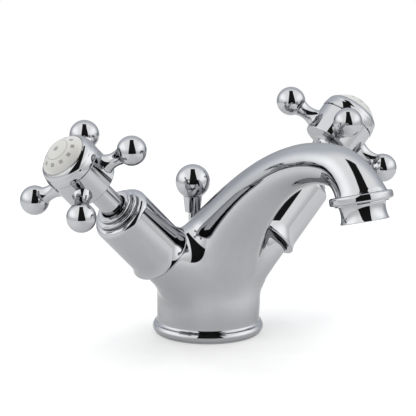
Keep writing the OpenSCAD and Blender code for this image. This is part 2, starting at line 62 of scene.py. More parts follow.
# spout centre line in the plane X = 0, as (y, z), and its radii
ROOT, APEX = np.array([0, -0.15, 26.8]), np.array([0, -98.7, 100.3])
ROOT_ANGLE, ROOT_PULL, APEX_PULL, DROP_PULL, MOUTH_PULL = 69.6, 15.6, 53.1, 10.2, 2.5
ROOT_R, APEX_R, MOUTH_R = 28.7, 9.65, 12.85
RISE_POWER, DROP_POWER = 2.06, 1.65
ROOT_U, SKIN_FROM_U = 0.13, -0.12
ROOT_PINCH = 300.0

# outlet: stations run up from the nozzle's mouth
OUTLET = np.array([0, -120.0, 78.3])
OUTLET_LEAN = 15.9
NOZZLE_H, NOZZLE_R, NOZZLE_WAIST_R = 8.2, 11.55, 10.6
NOZZLE_WAIST_SHIFT, NOZZLE_WAIST_POWER = 1.1, 2.2
NOZZLE_CHAMFER, NOZZLE_CHAMFER_H, NOZZLE_GAP = 0.35, 0.3, 0.05
NOZZLE_BORE_R, NOZZLE_MOUTH_R = 8.9, 8.6
NOZZLE_LEDGE_R, NOZZLE_LEDGE_FROM, NOZZLE_LEDGE_TO = 8.2, 0.5, 1.6
COLLAR_R, COLLAR_H, COLLAR_LIP_R, COLLAR_LIP_H = 14.9, 3.9, 12.7, 0.7
COLLAR_WALL, COLLAR_LIP_FILLET, COLLAR_LIP_HOLLOW = 1.5, 0.2, 0.15
COLLAR_LOW_FILLET, COLLAR_TOP_FILLET, COLLAR_TOP_IN, COLLAR_TOP_RISE = 1.1, 1.3, 0.4, 0.25
MOUTH_UP, SKIN_END_UP = 10.8, 11.3

# stations along a valve axis, outwards from the plane of the ball centres
BRANCH_END, BRANCH_R, BRANCH_FLARE_AT, BRANCH_FLARE, BRANCH_DEEP = -63.2, 12.6, -76.0, 40.0, -102.0
BRANCH_CURVE = 12.0
BRANCH_STOP_X, BRANCH_FADE_X = 4.0, 12.0
SHROUD_R, SHROUD_FOOT_R, SHROUD_SHOULDER_T, SHROUD_SHOULDER_R = 14.5, 15.8, -31.4, 3.0
SHROUD_FLARE_H, SHROUD_FLARE_R, SHROUD_FOOT_EDGE = 5.3, 12.0, 1.2
SHROUD_GAP, SHROUD_FLARE_GAP, SHROUD_FOOT_IN_R = 0.3, 0.3, 14.2
STEP_BEAD, STEP_ONE_R, STEP_ONE_T, STEP_TWO_R, STEP_TWO_T = 0.95, 8.4, -24.2, 10.45, -26.15
STEP_TWO_BASE = 0.3
THROAT_R, THROAT_LIP, THROAT_END = 6.45, 0.6, -29.0
COVE_R, COVE_FROM, COVE_TO = 7.2, -29.3, -31.0
BONNET_ROOM_R, BONNET_ROOM_FROM, BONNET_ROOM_TO = 8.5, -31.2, -36.0
SHROUD_BORE_R, SHROUD_BORE_FROM = 12.9, -40.0
# arcs of the barrel's section, degrees
FOOT_EDGE_START, RING_TWO_START, RING_ONE_START = -48, -75, -60
HUB_R, HUB_BOTTOM, HUB_TOP, NECK_R, NECK_END, NECK_FILLET = 14.0, -6.3, 8.6, 5.8, -29.0, 3.0
HUB_LOW_EDGE, HUB_TOP_EDGE, NECK_CHAMFER = 0.6, 0.3, 0.3
HUB_BORE_R, HUB_CUP_R, HUB_CUP_FLOOR = 4.2, 10.2, 3.0
CAP_OVERHANG, CAP_RIM_T, INDEX_FLOOR_T = 0.2, 15.9, 14.0
CAP_ROLL, CAP_ROLL_T, CAP_LIP_R = 4.0, 12.2, 11.75
CAP_ROLL_START, CAP_ROLL_DROP = 4, 0.3
CAP_GAP, CAP_SEAM_H, CAP_BELLY, CAP_BELLY_SHARE = 0.12, 0.45, 0.5, 0.94
# corners under the cap's side as steps in from the hub's radius and up from its top
CAP_UNDER = ((0.6, CAP_GAP), (0.02, 0.16))
# corners of the cap's lip as steps in from its radius and down from the rim
CAP_LIP = ((0.1, 0.14), (0.25, 0.05))
CAP_BORE_R, CAP_BORE_DROP = 8.2, 1.0
INDEX_R, INDEX_DOME_H = 11.3, 5.4
INDEX_CHAMFER, INDEX_EDGE_DROP, INDEX_FACE_START = 0.2, 0.15, 1.0
INDEX_ROOM_TOP, INDEX_ROOM_DROP, INDEX_ROOM_LOW, INDEX_ROOM_LIFT = 0.12, 0.12, 0.05, 0.02
BALL_REACH, BALL_R = 28.1, 7.1
ARM_SEAT, ARM_ROOT_AT, ARM_ROOT_R, ARM_WAIST_AT, ARM_WAIST_R = 12.9, 13.6, 4.8, 18.6, 3.45
ARM_PHASE = {"hot": 43.8, "cold": 54.4}

ROD_Y, ROD_R, ROD_BOTTOM, ROD_TAP_R, ROD_TAP_H = 12.4, 2.15, 7.0, 1.25, 8.0
KNOB_Z, KNOB_R = 72.4, 8.45
KNOB_NECK_TOP_R, KNOB_NECK_LOW_R, KNOB_NECK_LOW = 4.7, 3.85, 57.3
KNOB_NECK_EDGE, KNOB_BORE_ROOM, KNOB_BORE_H = 0.35, 0.03, 5.0
ROD_CHAMFER, ROD_IN_KNOB, ROD_ROOM = 0.3, 4.0, 0.5
GUIDE_R, GUIDE_FROM = 3.42, 34.0
INLET_X, INLET_Y, INLET_R, INLET_DEPTH = 9.1, -4.5, 5.0, 12.0
STUD_Y, STUD_R, STUD_DEPTH = -15.3, 4.0, 15.0
DRILL_BELOW, DRILL_TOP = 2.0, 62.0

# blends of the casting, and how finely its skin is worked out
SPOUT_FILLET, SPOUT_SPREAD = 13.0, 2.6
BRANCH_FILLET, BRANCH_SPREAD = 13.0, 3.2
FOOT_TOP = 7.4
MOUTH_REACH, ROUGH_BELOW = 22.0, 4.0
VOXEL = 0.7
SETTLE_ROUNDS, PROJECTIONS, BUFFING = 8, 3, 14
COARSE_BATCH, U_REFINEMENTS, U_STRIDE = 4000, 3, 0.02
SKIN_TOLERANCE, LEVEL_TOLERANCE = 0.05, 0.01
SHARP_DEGREES = 28
# least cosine between a face and a normal worked out for its corners
SKIN_AGREEMENT, FOOT_AGREEMENT, LEVEL_FACE = 0.6, 0.8, 0.99

# ------------------------------ frames


def placed(x, y, z, origin):
    """A matrix in metres from three axes and an origin in millimetres."""
    m = Matrix.Identity(4)
    for k, column in enumerate((x, y, z)):
        m.col[k].xyz = column
    m.translation = Vector(origin) * MM
    return m


def valve_frame(side):
    """The frame of a valve: +Z outwards along its hinge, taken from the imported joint."""
    joint = next(j for j in frame["joints"] if j["name"] == side + "_turn")
    z = Vector(joint["axis"]).normalized()
    y = Vector((0, 1, 0))
    return placed(y.cross(z), y, z, Vector(joint["pos_m"]) / MM)


LEAN = math.radians(OUTLET_LEAN)
UP_SPOUT = np.array([0, math.sin(LEAN), math.cos(LEAN)])
OUTLET_FRAME = placed((1, 0, 0), (0, math.cos(LEAN), -math.sin(LEAN)), UP_SPOUT, OUTLET)
KNOB_FRAME = placed((1, 0, 0), (0, 1, 0), (0, 0, 1), (0, ROD_Y, 0))
VALVE_FRAME = {side: valve_frame(side) for side in ("hot", "cold")}

# ------------------------------ outlines and lathes


def arc(centre_r, centre_t, radius, start, end, steps=12):
    """Points of an arc in a half section, angles in degrees from the radial direction."""
    return [
        (centre_r + radius * math.cos(a), centre_t + radius * math.sin(a))
        for a in np.radians(np.linspace(start, end, steps + 1))
    ]


def rounded(corners, steps=6):
    """An outline whose corners (r, t, fillet) are rounded with arcs."""
    points = []
    for i, (r, t, fillet) in enumerate(corners):
        here = np.array([r, t], float)
        if not fillet:
            points.append((r, t))
            continue
        before = np.array(corners[i - 1][:2], float) - here
        after = np.array(corners[i + 1][:2], float) - here
        before /= np.linalg.norm(before)
        after /= np.linalg.norm(after)
        half = math.acos(max(-1.0, min(1.0, float(before @ after)))) / 2
        setback = fillet / math.tan(half)
        bisector = (before + after) / np.linalg.norm(before + after)
        centre = here + bisector * fillet / math.sin(half)
        first = here + before * setback - centre
        last = here + after * setback - centre
        a0, a1 = math.atan2(first[1], first[0]), math.atan2(last[1], last[0])
        turn = (a1 - a0 + math.pi) % (2 * math.pi) - math.pi
        for k in range(steps + 1):
            a = a0 + turn * k / steps
            points.append((centre[0] + fillet * math.cos(a), centre[1] + fillet * math.sin(a)))
    return points


SMOOTH_TURN = math.cos(math.radians(SHARP_DEGREES))


def section_normals(points):
    """For each segment of an outline, its normal at its start and at its end.

    Segments that turn gently share a normal, weighted by length so that straight runs stay straight."""
    p = np.array(points, float)
    step = np.diff(p, axis=0)
    length = np.linalg.norm(step, axis=1)
    normal = np.stack([step[:, 1], -step[:, 0]], 1) / length[:, None]
    start, end = normal.copy(), normal.copy()
    for i in range(len(normal) - 1):
        if normal[i] @ normal[i + 1] > SMOOTH_TURN:
            shared = normal[i] * length[i] + normal[i + 1] * length[i + 1]
            shared /= np.linalg.norm(shared)
            end[i] = start[i + 1] = shared
    return start, end


def lathe_data(points, segments, closed):
    """Vertices, faces and per-corner normals of a turned shape about +Z.

    The outline runs with its outside on the right hand, and is closed on itself or ends on the axis."""
    points = [(max(r, 0.0), t) for r, t in points]
    if closed:
        points = points + [points[0]]
    start, end = section_normals(points)
    angles = np.linspace(0, 2 * math.pi, segments, endpoint=False)
    around = np.stack([np.cos(angles), np.sin(angles)], 1)
    verts, rings = [], []
    for i, (r, t) in enumerate(points):
        if closed and i == len(points) - 1:
            rings.append(rings[0])
        elif r < 1e-6:
            rings.append([len(verts)] * segments)
            verts.append((0.0, 0.0, t))
        else:
            rings.append(list(range(len(verts), len(verts) + segments)))
            verts.extend((r * c, r * s, t) for c, s in around)
    faces, normals = [], []
    for i in range(len(points) - 1):
        for k in range(segments):
            n = (k + 1) % segments
            corners = [(rings[i][k], start[i], k), (rings[i][n], start[i], n),
                       (rings[i + 1][n], end[i], n), (rings[i + 1][k], end[i], k)]
            kept = [c for j, c in enumerate(corners) if c[0] != corners[j - 1][0]]
            if len(kept) < 3:
                continue
            faces.append([c[0] for c in kept])
            normals.extend((c[1][0] * around[c[2]][0], c[1][0] * around[c[2]][1], c[1][1]) for c in kept)
    return np.array(verts), faces, np.array(normals)


def make_piece(name, verts, faces, normals, matrix, body, nodes):
    """A mesh object with its own corner normals that rides on a body and stands for CAD nodes.

    Its vertices come in millimetres in its own frame, and stay in the attribute "section"."""
    mesh = bpy.data.meshes.new(name)
    own, m = np.asarray(verts), np.array(matrix)
    mesh.from_pydata((own * MM @ m[:3, :3].T + m[:3, 3]).tolist(), [], faces)
    mesh.update()
    section = mesh.attributes.new("section", "FLOAT_VECTOR", "POINT")
    section.data.foreach_set("vector", own.astype(np.float32).ravel())
    piece = bpy.data.objects.new(name, mesh)
    bpy.context.scene.collection.objects.link(piece)
    mesh.polygons.foreach_set("use_smooth", [True] * len(mesh.polygons))
    mesh.normals_split_custom_set((np.asarray(normals) @ m[:3, :3].T).tolist())
    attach(piece, body)
    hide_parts(*nodes)
    return piece


def turned(name, points, matrix, body, nodes, segments=160, closed=True):
    """One turned piece."""
    verts, faces, normals = lathe_data(points, segments, closed)
    return make_piece(name, verts, faces, normals, matrix, body, nodes)


# ------------------------------ shape of the casting


def unit(v):
    """Rows of v at length one."""
    return v / np.maximum(np.linalg.norm(v, axis=-1, keepdims=True), 1e-12)


def bezier(a, b, c, d, t):
    """A point of a four-point curve for each t."""
    t = t[:, None]
    return (1 - t) ** 3 * a + 3 * (1 - t) ** 2 * t * b + 3 * (1 - t) * t * t * c + t ** 3 * d


def bezier_speed(a, b, c, d, t):
    """The derivative of a four-point curve for each t."""
    t = t[:, None]
    return 3 * ((1 - t) ** 2 * (b - a) + 2 * (1 - t) * t * (c - b) + t * t * (d - c))


ROOT_DIR = np.array([0, -math.cos(math.radians(ROOT_ANGLE)), math.sin(math.radians(ROOT_ANGLE))])
MOUTH = OUTLET + MOUTH_UP * UP_SPOUT
RISE = (ROOT, ROOT + ROOT_PULL * ROOT_DIR, APEX + np.array([0, APEX_PULL, 0]), APEX)
DROP = (APEX, APEX - np.array([0, DROP_PULL, 0]), MOUTH + MOUTH_PULL * UP_SPOUT, MOUTH)


def spine(u):
    """Centre line of the spout: it starts on a straight run, rises for u up to 1 and falls from 1 to 2."""
    low, high = bezier(*RISE, np.clip(u, ROOT_U, 1)), bezier(*DROP, np.clip(u - 1, 0, 1))
    run = np.minimum(u - ROOT_U, 0)[:, None] * bezier_speed(*RISE, np.array([ROOT_U]))
    return np.where((u <= 1)[:, None], low + run, high)


def spine_speed(u):
    """Derivative of the centre line."""
    low, high = bezier_speed(*RISE, np.clip(u, ROOT_U, 1)), bezier_speed(*DROP, np.clip(u - 1, 0, 1))
    return np.where((u <= 1)[:, None], low, high)


def spout_r(u):
    """Radius of the spout along its centre line, pinched in where it runs on inside the column."""
    above = np.clip(1 - np.maximum(u, ROOT_U), 0, 1)
    widening = (ROOT_R - APEX_R) * RISE_POWER * (1 - ROOT_U) ** (RISE_POWER - 1)
    inside = np.maximum(ROOT_U - u, 0)
    rise = APEX_R + (ROOT_R - APEX_R) * above ** RISE_POWER + widening * inside - ROOT_PINCH * inside ** 2
    drop = APEX_R + (MOUTH_R - APEX_R) * np.clip(u - 1, 0, 1) ** DROP_POWER
    return np.where(u <= 1, rise, drop)


SPINE_U = np.linspace(SKIN_FROM_U, 2.0, 340)
SPINE_P = spine(SPINE_U)


def nearest_u(p):
    """Where on the centre line each point is nearest, refined between samples."""
    best = np.empty(len(p), int)
    for i in range(0, len(p), COARSE_BATCH):
        gap = p[i:i + COARSE_BATCH, None, :] - SPINE_P[None]
        best[i:i + COARSE_BATCH] = np.argmin((gap ** 2).sum(2), axis=1)
    return refine_u(p, SPINE_U[best])


def refine_u(p, u):
    """Slides u until the centre line is square to the way to each point."""
    for _ in range(U_REFINEMENTS):
        speed = spine_speed(u)
        along = ((p - spine(u)) * speed).sum(1) / (speed ** 2).sum(1)
        u = np.clip(u + np.clip(along, -U_STRIDE, U_STRIDE), SKIN_FROM_U, 2.0)
    return u


def spout_field(p, u):
    """Signed distance to the spout and its outward direction."""
    u = refine_u(p, u)
    gap, speed = p - spine(u), spine_speed(u)
    h = 1e-4
    taper = (spout_r(u + h) - spout_r(u - h)) / (2 * h) / np.linalg.norm(speed, axis=1)
    stretch = np.sqrt(1 + taper ** 2)
    away = (unit(gap) - taper[:, None] * unit(speed)) / stretch[:, None]
    return (np.linalg.norm(gap, axis=1) - spout_r(u)) / stretch, away


def column_field(p):
    """Signed distance to the domed column and its outward direction."""
    q = p.copy()
    q[:, 2] = np.maximum(p[:, 2] - COLUMN_H, 0)
    return np.linalg.norm(q, axis=1) - COLUMN_R, unit(q)


def branch_section(t):
    """Radius of a branch at stations t, and how fast it widens inwards: a curve, then a straight taper."""
    inwards = BRANCH_FLARE_AT - np.asarray(t, float)
    bent = np.clip(inwards, 0, BRANCH_CURVE)
    slope = bent / BRANCH_FLARE
    return BRANCH_R + bent ** 2 / (2 * BRANCH_FLARE) + np.maximum(inwards - BRANCH_CURVE, 0) * slope, slope


def outwards(p, side):
    """How far points lie towards one side of the middle plane."""
    return p[:, 0] if side == "cold" else -p[:, 0]


def branch_field(p, side):
    """Signed distance to a flared branch and its outward direction. It stops short of the middle plane."""
    m = np.array(VALVE_FRAME[side])
    axis, origin = m[:3, 2], m[:3, 3] / MM
    t = (p - origin) @ axis
    out = (p - origin) - t[:, None] * axis
    radius, slope = branch_section(t)
    stretch = np.sqrt(1 + slope ** 2)
    side_gap = (np.linalg.norm(out, axis=1) - radius) / stretch
    away = (unit(out) + slope[:, None] * axis) / stretch[:, None]
    cap_gap = t - BRANCH_END
    capped = (cap_gap > side_gap)[:, None]
    field, away = np.maximum(side_gap, cap_gap), np.where(capped, axis, away)
    return np.maximum(field, BRANCH_STOP_X - outwards(p, side)), away



def branch_fillet(p, side):
    """Fillet radius of a branch, which fades out near the middle plane."""
    share = (outwards(p, side) - BRANCH_STOP_X) / (BRANCH_FADE_X - BRANCH_STOP_X)
    return BRANCH_FILLET * np.clip(share, 0, 1)


def filleted(a, b, radius, spread=1.0):
    """Union of two fields with a fillet that fades out where their surfaces run alike.

    A larger spread keeps the fillet wide down to smaller angles between the surfaces."""
    (fa, na), (fb, nb) = a, b
    r = radius * (1 - np.exp(-spread * (1 - (na * nb).sum(1)))) + 1e-6
    wa, wb = np.maximum(r - fa, 0), np.maximum(r - fb, 0)
    both = (wa > 0) & (wb > 0)
    field = np.maximum(r, np.minimum(fa, fb)) - np.sqrt(wa ** 2 + wb ** 2)
    nearer = np.where((fa < fb)[:, None], na, nb)
    away = np.where(both[:, None], unit(wa[:, None] * na + wb[:, None] * nb), nearer)
    return field, away


def casting_field(p, u):
    """Signed distance to the outside of the casting and its outward direction."""
    trunk = filleted(column_field(p), spout_field(p, u), SPOUT_FILLET, SPOUT_SPREAD)
    for side in ("hot", "cold"):
        trunk = filleted(trunk, branch_field(p, side), branch_fillet(p, side), BRANCH_SPREAD)
    return trunk


def casting_normals(p):
    """Outward normals of the casting's surface, from differences of its field."""
    u = nearest_u(p)
    h = 0.02
    gradient = np.empty_like(p)
    for k in range(3):
        step = np.zeros(3)
        step[k] = h
        gradient[:, k] = casting_field(p + step, u)[0] - casting_field(p - step, u)[0]
    return unit(gradient)


def polished(normals, p, edges):
    """Normals averaged along the skin's edges, as polishing would do. The foot's rim keeps its own."""
    on_surface = np.abs(casting_field(p, nearest_u(p))[0]) < SKIN_TOLERANCE
    skin = on_surface & (p[:, 2] > FOOT_TOP - LEVEL_TOLERANCE)
    a, b = edges[skin[edges].all(axis=1)].T
    rim = p[:, 2] < FOOT_TOP + LEVEL_TOLERANCE
    kept = np.column_stack([p[:, :2], np.zeros(len(p))])[rim]
    for _ in range(BUFFING):
        total = normals.copy()
        np.add.at(total, a, normals[b])
        np.add.at(total, b, normals[a])
        normals = unit(total)
        normals[rim] = unit(kept)
    return normals


def swept_spout():
    """A plain tube along the centre line, a start for the casting's skin."""
    sides = 48
    us = np.linspace(SKIN_FROM_U, 2.0, 60)
    points, speeds, radii = spine(us), unit(spine_speed(us)), spout_r(us)
    turn = np.linspace(0, 2 * math.pi, sides, endpoint=False)
    across = np.array([1.0, 0, 0])
    verts = []
    for p, d, r in zip(points, speeds, radii):
        side = np.array([0, -d[2], d[1]])
        verts.extend(p + r * (np.cos(a) * across + np.sin(a) * side) for a in turn)
    faces = [
        [i * sides + k, (i + 1) * sides + k, (i + 1) * sides + (k + 1) % sides, i * sides + (k + 1) % sides]
        for i in range(len(us) - 1) for k in range(sides)
    ]
    faces.append(list(range(sides)))
    faces.append([(len(us) - 1) * sides + k for k in reversed(range(sides))])
    return np.array(verts), faces


def branch_outline():
    """Half section of a branch, from its deep end to its end face."""
    steps = np.linspace(BRANCH_DEEP, BRANCH_FLARE_AT, 12)
    flare = list(zip(branch_section(steps)[0], steps))
    return [(0, BRANCH_DEEP)] + flare + [(BRANCH_R, BRANCH_END), (0, BRANCH_END)]


def rough_casting():
    """Column, spout and branches as one voxel mesh, still without fillets."""
    dome = arc(0, COLUMN_H, COLUMN_R, 0, 90, 16)
    shells = [lathe_data([(0, -ROUGH_BELOW), (COLUMN_R, -ROUGH_BELOW)] + dome, 96, False)[:2], swept_spout()]
    for side in ("hot", "cold"):
        verts, faces, _ = lathe_data(branch_outline(), 96, False)
        m = np.array(VALVE_FRAME[side])
        shells.append((verts @ m[:3, :3].T + m[:3, 3] / MM, faces))
    verts, faces = [], []
    for shell_verts, shell_faces in shells:
        faces += [[i + len(verts) for i in f] for f in shell_faces]
        verts += shell_verts.tolist()
    mesh = bpy.data.meshes.new("rough_casting")
    mesh.from_pydata(verts, [], faces)
    rough = bpy.data.objects.new("rough_casting", mesh)
    bpy.context.scene.collection.objects.link(rough)
    remesh = rough.modifiers.new("voxels", "REMESH")
    remesh.mode = "VOXEL"
    remesh.voxel_size = VOXEL
    evaluated = rough.evaluated_get(bpy.context.evaluated_depsgraph_get())
    result = bpy.data.meshes.new_from_object(evaluated)
    bpy.data.objects.remove(rough)
    return result


def settle(mesh):
    """Moves the vertices onto the casting's surface, spacing them evenly as it goes."""
    count = len(mesh.vertices)
    p = np.empty(count * 3)
    mesh.vertices.foreach_get("co", p)
    p = p.reshape(-1, 3)
    edges = np.empty(len(mesh.edges) * 2, int)
    mesh.edges.foreach_get("vertices", edges)
    a, b = edges.reshape(-1, 2).T
    degree = np.bincount(a, minlength=count) + np.bincount(b, minlength=count)
    for smoothing in range(SETTLE_ROUNDS):
        u = nearest_u(p)
        for _ in range(PROJECTIONS):
            field, away = casting_field(p, u)
            p = p - field[:, None] * away
        if smoothing < SETTLE_ROUNDS - 1:
            total = np.zeros_like(p)
            np.add.at(total, a, p[b])
            np.add.at(total, b, p[a])
            p = 0.5 * p + 0.5 * total / degree[:, None]
    mesh.vertices.foreach_set("co", p.ravel())
    mesh.update()


def foot_outline():
    """Outside of the foot from the column down, then the sole with its gasket groove."""
    fillet_r = COLUMN_FOOT_FILLET
    fillet = arc(COLUMN_R + fillet_r, FOOT_H + fillet_r, fillet_r, 180, FOOT_FILLET_END, 8)
    bead = arc(FOOT_R - BEAD_R, BEAD_Z, BEAD_R, BEAD_START, BEAD_END, 16)
    lip = [(SOLE_R, SOLE_LIP_H), (SOLE_R - SOLE_LEAN, SOLE_CHAMFER_H), (SOLE_R - SOLE_CHAMFER, 0)]
    groove = [(GASKET_OUT, 0), (GASKET_OUT, GASKET_H), (GASKET_IN, GASKET_H), (GASKET_IN, 0)]
    return fillet + bead + lip + groove


def foot_normals(p, of_face):
    """Normals of corners on the turned foot, given their places and the normals of their faces."""
    outline = [(COLUMN_R, FOOT_TOP)] + foot_outline()
    points = np.array(outline[::-1])
    start, end = section_normals(points)
    before, after = np.vstack([start[:1], end]), np.vstack([start, end[-1:]])
    wide = np.linalg.norm(p[:, :2], axis=1)
    place = np.stack([wide, p[:, 2]], 1)
    nearest = np.argmin(((place[:, None] - points[None]) ** 2).sum(2), axis=1)
    radial = p[:, :2] / np.maximum(wide, 1e-9)[:, None]
    face = np.stack([(of_face[:, :2] * radial).sum(1), of_face[:, 2]], 1)
    above = ((after[nearest] * face).sum(1) > (before[nearest] * face).sum(1))[:, None]
    chosen = np.where(above, after[nearest], before[nearest])
    normals = np.column_stack([radial * chosen[:, :1], chosen[:, 1]])
    fits = np.linalg.norm(place - points[nearest], axis=1) < SKIN_TOLERANCE
    fits &= (normals * of_face).sum(1) > FOOT_AGREEMENT
    return normals, fits


def add_foot(bm):
    """Cuts the casting level above the foot and carries its edge down the foot's outline."""
    bmesh.ops.bisect_plane(
        bm, geom=bm.verts[:] + bm.edges[:] + bm.faces[:],
        plane_co=(0, 0, FOOT_TOP), plane_no=(0, 0, 1), clear_inner=True,
    )
    rim = {v for e in bm.edges if e.is_boundary for v in e.verts}
    ring = sorted(rim, key=lambda v: math.atan2(v.co.y, v.co.x))
    angles = [math.atan2(v.co.y, v.co.x) for v in ring]
    for v, a in zip(ring, angles):
        v.co = (COLUMN_R * math.cos(a), COLUMN_R * math.sin(a), FOOT_TOP)
    for r, z in foot_outline():
        lower = [bm.verts.new((r * math.cos(a), r * math.sin(a), z)) for a in angles]
        for i in range(len(ring)):
            bm.faces.new((ring[i], lower[i], lower[i - 1], ring[i - 1]))
        ring = lower
    bm.faces.new(ring)


def blind_hole(radius, depth):
    """Half section of a round hole from below the sole."""
    return [(0, -DRILL_BELOW), (radius, -DRILL_BELOW), (radius, depth), (0, depth)]


def drill():
    """The holes of the casting as one cutter: inlets, stud hole and the lift rod's stepped hole."""
    rod_hole_r = ROD_R + ROD_ROOM
    stepped = [
        (0, -DRILL_BELOW), (rod_hole_r, -DRILL_BELOW), (rod_hole_r, GUIDE_FROM),
        (GUIDE_R, GUIDE_FROM), (GUIDE_R, DRILL_TOP), (0, DRILL_TOP),
    ]
    holes = [(blind_hole(INLET_R, INLET_DEPTH), x, INLET_Y) for x in (-INLET_X, INLET_X)]
    holes += [(blind_hole(STUD_R, STUD_DEPTH), 0, STUD_Y), (stepped, 0, ROD_Y)]
    verts, faces = [], []
    for outline, x, y in holes:
        v, f, _ = lathe_data(outline, 64, False)
        faces += [[i + len(verts) for i in face] for face in f]
        verts += (v + np.array([x, y, 0])).tolist()
    mesh = bpy.data.meshes.new("drill")
    mesh.from_pydata(verts, [], faces)
    cutter = bpy.data.objects.new("drill", mesh)
    bpy.context.scene.collection.objects.link(cutter)
    return cutter


def cut_mouth(bm):
    """Cuts the spout's end square inside the outlet collar and closes it."""
    end = OUTLET + SKIN_END_UP * UP_SPOUT
    near = [v for v in bm.verts if (v.co - Vector(end)).length < MOUTH_REACH]
    inside = set(near)
    geometry = [e for group in (bm.edges, bm.faces) for e in group if all(v in inside for v in e.verts)]
    geometry += near
    cut = bmesh.ops.bisect_plane(bm, geom=geometry, plane_co=end, plane_no=-UP_SPOUT, clear_outer=True)
    rim = [e for e in cut["geom_cut"] if isinstance(e, bmesh.types.BMEdge)]
    bmesh.ops.holes_fill(bm, edges=rim)


def drilled_casting():
    """Column, branches and spout as one filleted mesh with its foot, its cut mouth and its holes."""
    mesh = rough_casting()
    settle(mesh)
    bm = bmesh.new()
    bm.from_mesh(mesh)
    add_foot(bm)
    cut_mouth(bm)
    bmesh.ops.remove_doubles(bm, verts=bm.verts[:], dist=1e-4)
    bmesh.ops.recalc_face_normals(bm, faces=bm.faces[:])
    bm.to_mesh(mesh)
    bm.free()
    solid = bpy.data.objects.new("solid_casting", mesh)
    bpy.context.scene.collection.objects.link(solid)
    cutter = drill()
    cut = solid.modifiers.new("holes", "BOOLEAN")
    cut.object, cut.operation, cut.solver = cutter, "DIFFERENCE", "EXACT"
    drilled = bpy.data.meshes.new_from_object(solid.evaluated_get(bpy.context.evaluated_depsgraph_get()))
    bpy.data.objects.remove(solid)
    bpy.data.objects.remove(cutter)
    drilled.polygons.foreach_set("use_smooth", [True] * len(drilled.polygons))
    drilled.set_sharp_from_angle(angle=math.radians(SHARP_DEGREES))
    return drilled


def read_all(collection, attribute, count, kind):
    """One attribute of every element of a mesh, as rows of count numbers or as a flat array for count 1."""
    values = np.empty(len(collection) * count, kind)
    collection.foreach_get(attribute, values)
    return values if count == 1 else values.reshape(-1, count)


def casting_corners(mesh, p):
    """Corner normals of the casting: polished on its skin, turned on the foot, its own in the holes."""
    corner_vertex = read_all(mesh.loops, "vertex_index", 1, int)
    face_size = read_all(mesh.polygons, "loop_total", 1, int)
    of_face = np.repeat(read_all(mesh.polygons, "normal", 3, float), face_size, axis=0)
    own = np.array([n.vector[:] for n in mesh.corner_normals])
    place = p[corner_vertex]
    height = place[:, 2]
    smooth = polished(casting_normals(p), p, read_all(mesh.edges, "vertices", 2, int))[corner_vertex]
    on_skin = (height > FOOT_TOP - LEVEL_TOLERANCE) & ((smooth * of_face).sum(1) > SKIN_AGREEMENT)
    normals = np.where(on_skin[:, None], smooth, own)
    turned_foot, fits = foot_normals(place, of_face)
    face_bottom = np.repeat(np.minimum.reduceat(height, np.cumsum(face_size) - face_size), face_size)
    on_foot = fits & (np.abs(of_face[:, 2]) < LEVEL_FACE)
    on_foot &= (height < FOOT_TOP + LEVEL_TOLERANCE) & (face_bottom < FOOT_TOP - LEVEL_TOLERANCE)
    return np.where(on_foot[:, None], turned_foot, normals)


def casting():
    """The casting: column, branches and spout in one skin, drilled from below and for the lift rod."""
    mesh = drilled_casting()
    p = read_all(mesh.vertices, "co", 3, float)
    faces = [list(f.vertices) for f in mesh.polygons]
    return make_piece("casting", p, faces, casting_corners(mesh, p), Matrix.Identity(4), "tap_body",
                      ("body", "spout"))


# ------------------------------ turned pieces


def nozzle_waist():
    """Outside of the nozzle, hollow between its mouth and its top."""
    return [
        (NOZZLE_WAIST_R + (NOZZLE_R - NOZZLE_WAIST_R)
         * abs(2 * s - NOZZLE_WAIST_SHIFT) ** NOZZLE_WAIST_POWER / NOZZLE_WAIST_SHIFT ** NOZZLE_WAIST_POWER,
         NOZZLE_H * s)
        for s in np.linspace(0, 1, 22)
    ]


def outlet_pieces():
    """The collar at the end of the spout and the waisted nozzle below it."""
    lip_top = NOZZLE_H + COLLAR_LIP_H
    top = lip_top + COLLAR_H
    collar_in = NOZZLE_R - COLLAR_WALL
    collar = rounded([
        (collar_in, NOZZLE_H, 0), (COLLAR_LIP_R, NOZZLE_H, COLLAR_LIP_FILLET),
        (COLLAR_LIP_R, lip_top, COLLAR_LIP_HOLLOW), (COLLAR_R, lip_top, COLLAR_LOW_FILLET),
        (COLLAR_R, top, COLLAR_TOP_FILLET), (MOUTH_R - COLLAR_TOP_IN, top + COLLAR_TOP_RISE, 0),
        (collar_in, top, 0),
    ])
    made = [turned("collar_ring", collar, OUTLET_FRAME, "tap_body", ["outlet_collar"])]
    waist = nozzle_waist()
    nozzle_top = NOZZLE_H - NOZZLE_GAP
    outside = [(waist[0][0] - NOZZLE_CHAMFER, 0), (waist[0][0], NOZZLE_CHAMFER_H), *waist[2:-1],
               (waist[-1][0], nozzle_top)]
    inside = [(NOZZLE_BORE_R, nozzle_top), (NOZZLE_BORE_R, NOZZLE_LEDGE_TO),
              (NOZZLE_LEDGE_R, NOZZLE_LEDGE_TO), (NOZZLE_LEDGE_R, NOZZLE_LEDGE_FROM), (NOZZLE_MOUTH_R, 0)]
    nozzle = outside + inside
    made.append(turned("nozzle_ring", nozzle, OUTLET_FRAME, "tap_body", ["outlet_nozzle"]))
    return made


